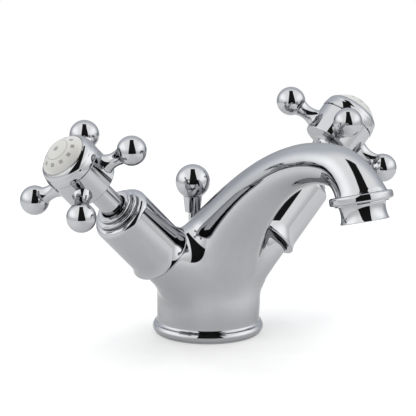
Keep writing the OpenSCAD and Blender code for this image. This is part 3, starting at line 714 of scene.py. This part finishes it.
def shroud(side):
    """The barrel over a valve, with its flared foot, shoulder and two stepped rings."""
    foot = BRANCH_END + SHROUD_GAP
    edge_top = BRANCH_END + SHROUD_FOOT_EDGE
    flare_top = edge_top + SHROUD_FLARE_H
    edge = arc(SHROUD_FOOT_R - SHROUD_FOOT_EDGE, edge_top, SHROUD_FOOT_EDGE, FOOT_EDGE_START, 0, 6)
    flare = [
        (SHROUD_R + SHROUD_FLARE_R - math.sqrt(SHROUD_FLARE_R ** 2 - (flare_top - t) ** 2), t)
        for t in np.linspace(edge_top + SHROUD_FLARE_GAP, flare_top, 10)
    ]
    flare = [(min(r, SHROUD_FOOT_R), t) for r, t in flare]
    shoulder = arc(SHROUD_R - SHROUD_SHOULDER_R, SHROUD_SHOULDER_T, SHROUD_SHOULDER_R, 0, 90, 12)
    base = [(STEP_TWO_R + STEP_TWO_BASE, SHROUD_SHOULDER_T + SHROUD_SHOULDER_R)]
    ring_two = arc(STEP_TWO_R, STEP_TWO_T - STEP_BEAD, STEP_BEAD, RING_TWO_START, 90, 10)
    ring_one = arc(STEP_ONE_R, STEP_ONE_T - STEP_BEAD, STEP_BEAD, RING_ONE_START, 90, 10)
    throat = arc(THROAT_R + THROAT_LIP, STEP_ONE_T - THROAT_LIP, THROAT_LIP, 90, 180, 6)
    outside = [(SHROUD_FOOT_IN_R, foot)] + edge + flare + shoulder + base + ring_two + ring_one + throat
    inside = [
        (THROAT_R, THROAT_END), (COVE_R, COVE_FROM), (COVE_R, COVE_TO),
        (BONNET_ROOM_R, BONNET_ROOM_FROM), (BONNET_ROOM_R, BONNET_ROOM_TO),
        (SHROUD_BORE_R, SHROUD_BORE_FROM), (SHROUD_BORE_R, foot),
    ]
    return turned(side + "_barrel", outside + inside, VALVE_FRAME[side], "tap_body",
                  [side + "_shroud"])


def hub(side):
    """The hub of a cross handle with the neck that enters the barrel."""
    neck = [(HUB_BORE_R, NECK_END), (NECK_R - NECK_CHAMFER, NECK_END), (NECK_R, NECK_END + NECK_CHAMFER)]
    fillet = arc(NECK_R + NECK_FILLET, HUB_BOTTOM - NECK_FILLET, NECK_FILLET, 180, 90, 10)
    lower = arc(HUB_R - HUB_LOW_EDGE, HUB_BOTTOM + HUB_LOW_EDGE, HUB_LOW_EDGE, -90, 0, 6)
    upper = arc(HUB_R - HUB_TOP_EDGE, HUB_TOP - HUB_TOP_EDGE, HUB_TOP_EDGE, 0, 90, 5)
    inside = [(HUB_CUP_R, HUB_TOP), (HUB_CUP_R, HUB_CUP_FLOOR), (HUB_BORE_R, HUB_CUP_FLOOR)]
    return turned(side + "_hub", neck + fillet + lower + upper + inside, VALVE_FRAME[side],
                  side + "_valve", [side + "_handle_hub"])


def cap(side):
    """The rounded ring on top of the hub that holds the index button."""
    roll_end = math.degrees(math.asin((CAP_RIM_T - CAP_ROLL_DROP - CAP_ROLL_T) / CAP_ROLL))
    centre_r = CAP_LIP_R - CAP_ROLL * math.cos(math.radians(roll_end))
    roll = arc(centre_r, CAP_ROLL_T, CAP_ROLL, CAP_ROLL_START, roll_end, 22)
    under = [(HUB_R - r, HUB_TOP + t) for r, t in CAP_UNDER]
    # the side leans in a little from the seam to the roll, on a wide arc
    seam, top = np.array([HUB_R + CAP_OVERHANG, HUB_TOP + CAP_SEAM_H]), np.array(roll[0])
    belly = [tuple(seam + (top - seam) * s + np.array([CAP_BELLY * s * (1 - s), 0]))
             for s in np.linspace(0, CAP_BELLY_SHARE, 12)]
    lip = [(CAP_LIP_R - r, CAP_RIM_T - t) for r, t in CAP_LIP]
    lip.append((INDEX_R + INDEX_ROOM_TOP, CAP_RIM_T - INDEX_ROOM_DROP))
    inside = [(INDEX_R + INDEX_ROOM_LOW, INDEX_FLOOR_T + INDEX_ROOM_LIFT),
              (CAP_BORE_R, INDEX_FLOOR_T - CAP_BORE_DROP), (CAP_BORE_R, HUB_TOP + CAP_GAP)]
    return turned(side + "_cap", under + belly + roll + lip + inside, VALVE_FRAME[side],
                  side + "_valve", [side + "_handle_cap"])


def index_button(side):
    """The domed ceramic button."""
    dome = (INDEX_R ** 2 + INDEX_DOME_H ** 2) / (2 * INDEX_DOME_H)
    low = math.degrees(math.asin((dome - INDEX_DOME_H) / dome))
    face = arc(0, CAP_RIM_T + INDEX_DOME_H - dome, dome, low + INDEX_FACE_START, 90, 40)
    edge = [(0, INDEX_FLOOR_T), (INDEX_R - INDEX_CHAMFER, INDEX_FLOOR_T),
            (INDEX_R, INDEX_FLOOR_T + INDEX_CHAMFER), (INDEX_R, CAP_RIM_T - INDEX_EDGE_DROP)]
    return turned(side + "_button", edge + face, VALVE_FRAME[side], side + "_valve",
                  [side + "_index_disc"], closed=False)


def arm_outline():
    """Half section of an arm with its ball, from its seat in the hub outwards."""
    dip = ARM_ROOT_R - ARM_WAIST_R
    hollow = ((ARM_WAIST_AT - ARM_ROOT_AT) ** 2 + dip ** 2) / (2 * dip)
    centre_r = ARM_WAIST_R + hollow
    # where the hollow of the waist meets the ball
    gap = np.array([centre_r, ARM_WAIST_AT - BALL_REACH])
    spread = np.linalg.norm(gap)
    along = (spread ** 2 + BALL_R ** 2 - hollow ** 2) / (2 * spread)
    aside = math.sqrt(max(BALL_R ** 2 - along ** 2, 0))
    way = gap / spread
    meet = way * along + np.array([way[1], -way[0]]) * aside * (1 if way[1] < 0 else -1)
    meet_t = BALL_REACH + meet[1]
    stations = np.linspace(ARM_ROOT_AT, meet_t, 26)
    waist = [(centre_r - math.sqrt(hollow ** 2 - (t - ARM_WAIST_AT) ** 2), t) for t in stations]
    start = math.degrees(math.atan2(waist[-1][1] - BALL_REACH, waist[-1][0]))
    ball = arc(0, BALL_REACH, BALL_R, start, 90, 48)
    return [(0, ARM_SEAT), (ARM_ROOT_R, ARM_SEAT)] + waist + ball[1:]


def arms(side):
    """The four arms of a cross handle, each turned with its ball."""
    verts, faces, normals = lathe_data(arm_outline(), 96, False)
    all_verts, all_faces, all_normals = [], [], []
    for k in range(4):
        phase = math.radians(ARM_PHASE[side] + 90 * k)
        turn = np.array(Matrix.Rotation(phase, 3, "Z") @ Matrix.Rotation(math.pi / 2, 3, "Y"))
        all_faces += [[i + len(all_verts) for i in f] for f in faces]
        all_verts += (verts @ turn.T).tolist()
        all_normals += (normals @ turn.T).tolist()
    return make_piece(side + "_arms", all_verts, all_faces, all_normals, VALVE_FRAME[side],
                      side + "_valve", [side + "_handle_arms"])


def lift_pieces():
    """The lift rod and its ball knob with the tapered neck."""
    rod_top, tap_top = KNOB_NECK_LOW + ROD_IN_KNOB, ROD_BOTTOM + ROD_TAP_H
    rod = rounded([
        (ROD_TAP_R, ROD_BOTTOM, 0), (ROD_R, ROD_BOTTOM, ROD_CHAMFER), (ROD_R, rod_top, 0),
        (0, rod_top, 0), (0, tap_top, 0), (ROD_TAP_R, tap_top, 0),
    ])
    made = [turned("rod", rod, KNOB_FRAME, "lift", ["lift_rod"], 64)]
    seat = -math.degrees(math.acos(KNOB_NECK_TOP_R / KNOB_R))
    ball = arc(0, KNOB_Z, KNOB_R, seat, 90, 56)
    bore_r, bore_top = ROD_R + KNOB_BORE_ROOM, KNOB_NECK_LOW + KNOB_BORE_H
    neck = rounded([
        (bore_r, KNOB_NECK_LOW, 0), (KNOB_NECK_LOW_R, KNOB_NECK_LOW, KNOB_NECK_EDGE),
        (KNOB_NECK_TOP_R, ball[0][1], 0),
    ])
    outline = neck[:-1] + ball + [(0, bore_top), (bore_r, bore_top)]
    made.append(turned("knob", outline, KNOB_FRAME, "lift", ["lift_knob"], 128))
    return made


# ------------------------------ node helpers


class Value:
    """A number in a node tree, so that a formula can be written as Python."""

    def __init__(self, tree, socket):
        self.tree, self.socket = tree, socket

    def math(self, operation, *others):
        node = self.tree.nodes.new("ShaderNodeMath")
        node.operation = operation
        for i, value in enumerate((self, *others)):
            if isinstance(value, Value):
                self.tree.links.new(value.socket, node.inputs[i])
            else:
                node.inputs[i].default_value = value
        return Value(self.tree, node.outputs[0])

    def __add__(self, other):
        return self.math("ADD", other)

    def __sub__(self, other):
        return self.math("SUBTRACT", other)

    def __mul__(self, other):
        return self.math("MULTIPLY", other)

    def __truediv__(self, other):
        return self.math("DIVIDE", other)

    def ramp(self, low, high, at_low=0.0, at_high=1.0):
        """Goes smoothly from at_low to at_high as this value goes from low to high."""
        node = self.tree.nodes.new("ShaderNodeMapRange")
        node.interpolation_type = "SMOOTHSTEP"
        self.tree.links.new(self.socket, node.inputs["Value"])
        for name, value in (("From Min", low), ("From Max", high), ("To Min", at_low), ("To Max", at_high)):
            if isinstance(value, Value):
                self.tree.links.new(value.socket, node.inputs[name])
            else:
                node.inputs[name].default_value = value
        return Value(self.tree, node.outputs["Result"])


def parts_of(tree, socket):
    """The three numbers of a vector socket."""
    node = tree.nodes.new("ShaderNodeSeparateXYZ")
    tree.links.new(socket, node.inputs[0])
    return [Value(tree, o) for o in node.outputs]


def mixed(tree, share, first, second):
    """A colour between two, each a socket or a colour."""
    node = tree.nodes.new("ShaderNodeMix")
    node.data_type = "RGBA"
    tree.links.new(share.socket, node.inputs["Factor"])
    for socket, value in ((node.inputs[6], first), (node.inputs[7], second)):
        if isinstance(value, tuple):
            socket.default_value = (*value, 1)
        else:
            tree.links.new(value, socket)
    return node.outputs[2]


def noise(tree, scale, detail=3.0):
    """Procedural noise in the object's own coordinates, scale in features per metre."""
    where = tree.nodes.new("ShaderNodeTexCoord")
    node = tree.nodes.new("ShaderNodeTexNoise")
    tree.links.new(where.outputs["Object"], node.inputs["Vector"])
    node.inputs["Scale"].default_value = scale
    node.inputs["Detail"].default_value = detail
    return Value(tree, node.outputs["Fac"])


def shader(name, metallic=0.0, ior=1.5, coat=0.0):
    """A new material, its tree and its principled node."""
    material = bpy.data.materials.new(name)
    material.use_nodes = True
    tree = material.node_tree
    node = tree.nodes["Principled BSDF"]
    node.inputs["Metallic"].default_value = metallic
    node.inputs["IOR"].default_value = ior
    node.inputs["Coat Weight"].default_value = coat
    return material, tree, node


def bump(tree, node, height, strength, distance):
    """Relief on a principled node, distance in metres."""
    relief = tree.nodes.new("ShaderNodeBump")
    relief.inputs["Strength"].default_value = strength
    relief.inputs["Distance"].default_value = distance
    tree.links.new(height.socket, relief.inputs["Height"])
    tree.links.new(relief.outputs["Normal"], node.inputs["Normal"])


# ------------------------------ materials

# where the noise turns from one look to the other
NOISE_SPAN = (0.3, 0.7)
# the pattern on an index button, millimetres from its middle
STROKE_COUNT, STROKE_AT, STROKE_HALF_LENGTH, STROKE_HALF_WIDTH, STROKE_FADE = 10, 7.9, 0.75, 0.85, 1.1
RING_AT, RING_HALF_WIDTH = 5.6, 0.14
CENTRE_MARK = {"hot": (0.0, 1.3), "cold": (1.7, 0.35)}
INK_EDGE = 0.12
INK_TONE, INK_COVER = (0.17, 0.165, 0.16), (0.62, 0.9)
GLAZE_TONES, GLAZE_ROUGH = ((0.455, 0.45, 0.43), (0.475, 0.47, 0.45)), (0.28, 0.38)

def metal(name, light, dark, rough, grain, relief, edge=1.0):
    """A polished metal: slow changes of tone and polish, a trace of relief and a chosen edge tint."""
    material, tree, node = shader(name, metallic=1.0)
    node.inputs["Specular Tint"].default_value = (edge, edge, edge, 1)
    slow, fine = noise(tree, 45.0), noise(tree, grain)
    tree.links.new(mixed(tree, slow.ramp(0.35, 0.65), dark, light), node.inputs["Base Color"])
    polish = fine.ramp(*NOISE_SPAN, *rough)
    tree.links.new(polish.socket, node.inputs["Roughness"])
    bump(tree, node, slow, strength=0.25, distance=relief)
    return material


def plain(name, light, dark, rough, grain, relief, coat=0.0):
    """A non-metal: fine changes of tone and roughness and a fine relief."""
    material, tree, node = shader(name, coat=coat)
    fine = noise(tree, grain)
    tree.links.new(mixed(tree, fine.ramp(*NOISE_SPAN), dark, light), node.inputs["Base Color"])
    tree.links.new(fine.ramp(*NOISE_SPAN, *rough).socket, node.inputs["Roughness"])
    bump(tree, node, fine, strength=0.3, distance=relief)
    return material


def index_material(name, centre_mark):
    """Off-white ceramic with a printed ring of short strokes and a mark in the middle."""
    material, tree, node = shader(name, coat=0.35)
    where = tree.nodes.new("ShaderNodeAttribute")
    where.attribute_name = "section"
    x, y, _ = parts_of(tree, where.outputs["Vector"])
    reach = (x * x + y * y).math("SQRT")
    angle = y.math("ARCTAN2", x)

    def band(value, centre, half):
        return (value - centre).math("ABSOLUTE").ramp(half - INK_EDGE, half + INK_EDGE, 1.0, 0.0)

    sector = 2 * math.pi / STROKE_COUNT
    swing = (angle / sector).math("FRACT").math("SUBTRACT", 0.5).math("ABSOLUTE") * reach * sector
    strokes = swing.ramp(STROKE_HALF_WIDTH, STROKE_FADE, 1.0, 0.0)
    strokes *= band(reach, STROKE_AT, STROKE_HALF_LENGTH)
    marks = strokes.math("MAXIMUM", band(reach, RING_AT, RING_HALF_WIDTH))
    marks = marks.math("MAXIMUM", band(reach, *centre_mark))
    glaze = noise(tree, 900.0)
    tone = mixed(tree, glaze.ramp(*NOISE_SPAN), *GLAZE_TONES)
    ink = marks * glaze.ramp(0.2, 0.6, *INK_COVER)
    tree.links.new(mixed(tree, ink, tone, INK_TONE), node.inputs["Base Color"])
    tree.links.new(glaze.ramp(*NOISE_SPAN, *GLAZE_ROUGH).socket, node.inputs["Roughness"])
    bump(tree, node, glaze, strength=0.06, distance=0.000004)
    return material


def materials():
    """Every material by the record's slot name, with one more for each index button."""
    return {
        "chrome": metal("chrome", (0.405, 0.41, 0.425), (0.39, 0.395, 0.41),
                        rough=(0.02, 0.045), grain=700.0, relief=0.00002, edge=0.72),
        "brass": metal("brass", (0.80, 0.64, 0.33), (0.70, 0.54, 0.26),
                       rough=(0.22, 0.34), grain=1500.0, relief=0.00004),
        "steel": metal("steel", (0.62, 0.62, 0.63), (0.54, 0.54, 0.55),
                       rough=(0.2, 0.32), grain=1800.0, relief=0.00003),
        "ceramic": plain("ceramic", (0.86, 0.85, 0.82), (0.80, 0.79, 0.75),
                         rough=(0.18, 0.28), grain=900.0, relief=0.00001, coat=0.3),
        "rubber": plain("rubber", (0.045, 0.045, 0.048), (0.025, 0.025, 0.028),
                        rough=(0.55, 0.75), grain=1600.0, relief=0.00004),
        "plastic": plain("plastic", (0.72, 0.72, 0.70), (0.64, 0.64, 0.62),
                         rough=(0.35, 0.5), grain=1300.0, relief=0.00002),
        "hot": index_material("hot_index", CENTRE_MARK["hot"]),
        "cold": index_material("cold_index", CENTRE_MARK["cold"]),
    }


def dress(obj, material):
    """Gives an object one material."""
    obj.data.materials.clear()
    obj.data.materials.append(material)
    if obj.data.polygons:
        obj.data.polygons.foreach_set("material_index", [0] * len(obj.data.polygons))


# ------------------------------ studio

VIEW_AZIMUTH, VIEW_ELEVATION, VIEW_DISTANCE = -36.58, 13.62, 1.5413
VIEW_TARGET = Vector((0.00175, 0.0023, 0.06073))
LENS_MM, SENSOR_MM = 274.15, 36.0

# the dark opening of the tent: its sides from its low end to its high end, and where it starts and ends
OPENING_LOW, OPENING_HIGH = -0.3, 1.9
OPENING_LEFT, OPENING_RIGHT = (-0.44, -0.19), (0.70, 0.18)
OPENING_START, OPENING_END, OPENING_SOFT = (-0.235, -0.21), (1.80, 1.84), 0.02
WALL_LEVEL, ROOF_GAIN, SIDE_GAIN = 1.12, 0.55, 0.55
# where the roof, the rear and the side walls fade in, as parts of a direction
ROOF_FADE, REAR_FADE, SIDE_FADE, SIDE_LOW_FADE = (-0.05, 0.45), (-0.75, -0.15), (0.55, 0.95), (-0.1, 0.25)
WALL_TONE, REAR_TONE, OPENING_TONE = (1.0, 1.0, 0.99), (0.60, 0.62, 0.66), (0.012, 0.012, 0.012)

FLOOR_RADIUS_M = 0.42
# painted light: how strongly the table top glows by itself, and how the glow grows towards the sides of the object
PAINTED_GLOW_LEVEL, PAINTED_GLOW_GAIN, PAINTED_GLOW_NEAR_M, PAINTED_GLOW_FAR_M = 0.36, 0.25, 0.02, 0.16
LIGHT_SIZE_M, LIGHT_HEIGHT_M, LIGHT_WATTS = 1.6, 1.6, 9.0


def camera():
    """The camera at the photograph's viewing angle."""
    a, e = math.radians(VIEW_AZIMUTH), math.radians(VIEW_ELEVATION)
    back = Vector((math.sin(a) * math.cos(e), -math.cos(a) * math.cos(e), math.sin(e)))
    data = bpy.data.cameras.new("camera")
    data.lens, data.sensor_width = LENS_MM, SENSOR_MM
    data.clip_start, data.clip_end = 0.05, 20
    made = bpy.data.objects.new("camera", data)
    bpy.context.scene.collection.objects.link(made)
    made.location = VIEW_TARGET + back * VIEW_DISTANCE
    made.rotation_mode = "QUATERNION"
    made.rotation_quaternion = (-back).to_track_quat("-Z", "Y")
    bpy.context.scene.camera = made


def turned_to_view(tree, socket):
    """The numbers of a direction or a place: to the photograph's right, away from it, and up."""
    turn = tree.nodes.new("ShaderNodeVectorRotate")
    turn.rotation_type = "Z_AXIS"
    turn.inputs["Angle"].default_value = -math.radians(VIEW_AZIMUTH)
    tree.links.new(socket, turn.inputs["Vector"])
    return parts_of(tree, turn.outputs["Vector"])


def light_tent():
    """A white tent round the object: bright sides and roof, a cooler back, and one dark opening."""
    world = bpy.data.worlds.new("tent")
    bpy.context.scene.world = world
    world.use_nodes = True
    tree = world.node_tree
    tree.nodes.clear()
    where = tree.nodes.new("ShaderNodeTexCoord")
    aside, depth, height = turned_to_view(tree, where.outputs["Generated"])
    front = depth * -1.0
    reach = (front * front + height * height).math("SQRT")
    climb = height.math("ARCTAN2", front)
    # the opening: widest low down in front, narrowing as it passes overhead
    lateral = aside / reach
    left = climb.ramp(OPENING_LOW, OPENING_HIGH, *OPENING_LEFT)
    right = climb.ramp(OPENING_LOW, OPENING_HIGH, *OPENING_RIGHT)
    across = (lateral - right).ramp(-OPENING_SOFT, OPENING_SOFT, 1.0, 0.0)
    across *= (lateral - left).ramp(-OPENING_SOFT, OPENING_SOFT)
    along = climb.ramp(*OPENING_START) * climb.ramp(*OPENING_END, 1.0, 0.0)
    roof = height.ramp(*ROOF_FADE)
    rear = front.ramp(*REAR_FADE, 1.0, 0.0)
    sides = aside.math("ABSOLUTE").ramp(*SIDE_FADE) * height.ramp(*SIDE_LOW_FADE)
    level = roof * ROOF_GAIN + sides * SIDE_GAIN + WALL_LEVEL
    tone = mixed(tree, rear, WALL_TONE, REAR_TONE)
    tone = mixed(tree, across * along, tone, OPENING_TONE)
    lit = tree.nodes.new("ShaderNodeBackground")
    tree.links.new(tone, lit.inputs["Color"])
    tree.links.new(level.socket, lit.inputs["Strength"])
    backdrop = tree.nodes.new("ShaderNodeBackground")
    backdrop.inputs["Color"].default_value = (1, 1, 1, 1)
    path = tree.nodes.new("ShaderNodeLightPath")
    choice = tree.nodes.new("ShaderNodeMixShader")
    tree.links.new(path.outputs["Is Camera Ray"], choice.inputs["Fac"])
    tree.links.new(lit.outputs[0], choice.inputs[1])
    tree.links.new(backdrop.outputs[0], choice.inputs[2])
    output = tree.nodes.new("ShaderNodeOutputWorld")
    tree.links.new(choice.outputs[0], output.inputs["Surface"])


def floor():
    """A round pale table top with a painted glow of its own, stronger to the sides of the object."""
    bm = bmesh.new()
    bmesh.ops.create_circle(bm, cap_ends=True, segments=128, radius=FLOOR_RADIUS_M)
    mesh = bpy.data.meshes.new("floor")
    bm.to_mesh(mesh)
    bm.free()
    made = bpy.data.objects.new("floor", mesh)
    bpy.context.scene.collection.objects.link(made)
    material, tree, node = shader("table")
    tone = mixed(tree, noise(tree, 60.0).ramp(*NOISE_SPAN), (0.50, 0.50, 0.50), (0.52, 0.52, 0.52))
    tree.links.new(tone, node.inputs["Base Color"])
    node.inputs["Roughness"].default_value = 0.9
    node.inputs["Specular IOR Level"].default_value = 0.1
    # painted light: the table top glows by itself, stronger to both sides of the object than in front of and
    # behind it, which brightens the metal's reflections to the sides and thins the contact shadow
    where = tree.nodes.new("ShaderNodeTexCoord")
    aside, _, _ = turned_to_view(tree, where.outputs["Object"])
    painted_floor_glow = aside.math("ABSOLUTE").ramp(PAINTED_GLOW_NEAR_M, PAINTED_GLOW_FAR_M) * PAINTED_GLOW_GAIN + PAINTED_GLOW_LEVEL
    node.inputs["Emission Color"].default_value = (1, 1, 1, 1)
    tree.links.new(painted_floor_glow.socket, node.inputs["Emission Strength"])
    dress(made, material)


def soft_light():
    """One large soft light overhead, which the metal doesn't mirror."""
    data = bpy.data.lights.new("overhead", "AREA")
    data.shape, data.size = "DISK", LIGHT_SIZE_M
    data.energy = LIGHT_WATTS
    made = bpy.data.objects.new("overhead", data)
    bpy.context.scene.collection.objects.link(made)
    made.location = (0, 0, LIGHT_HEIGHT_M)
    made.visible_glossy = False


# ------------------------------ build

bpy.context.scene.view_settings.view_transform = "Standard"
camera()
light_tent()
floor()
soft_light()

looks = materials()
slot_of = {s["node"]: s["material_slot"] for s in frame["record"]["subparts"]}
for node_name, node_object in frame["nodes"].items():
    dress(node_object, looks[slot_of[node_name]])

chromed = [casting(), *outlet_pieces(), *lift_pieces()]
for side in ("hot", "cold"):
    chromed += [shroud(side), hub(side), cap(side), arms(side)]
    dress(index_button(side), looks[side])
for piece in chromed:
    dress(piece, looks["chrome"])
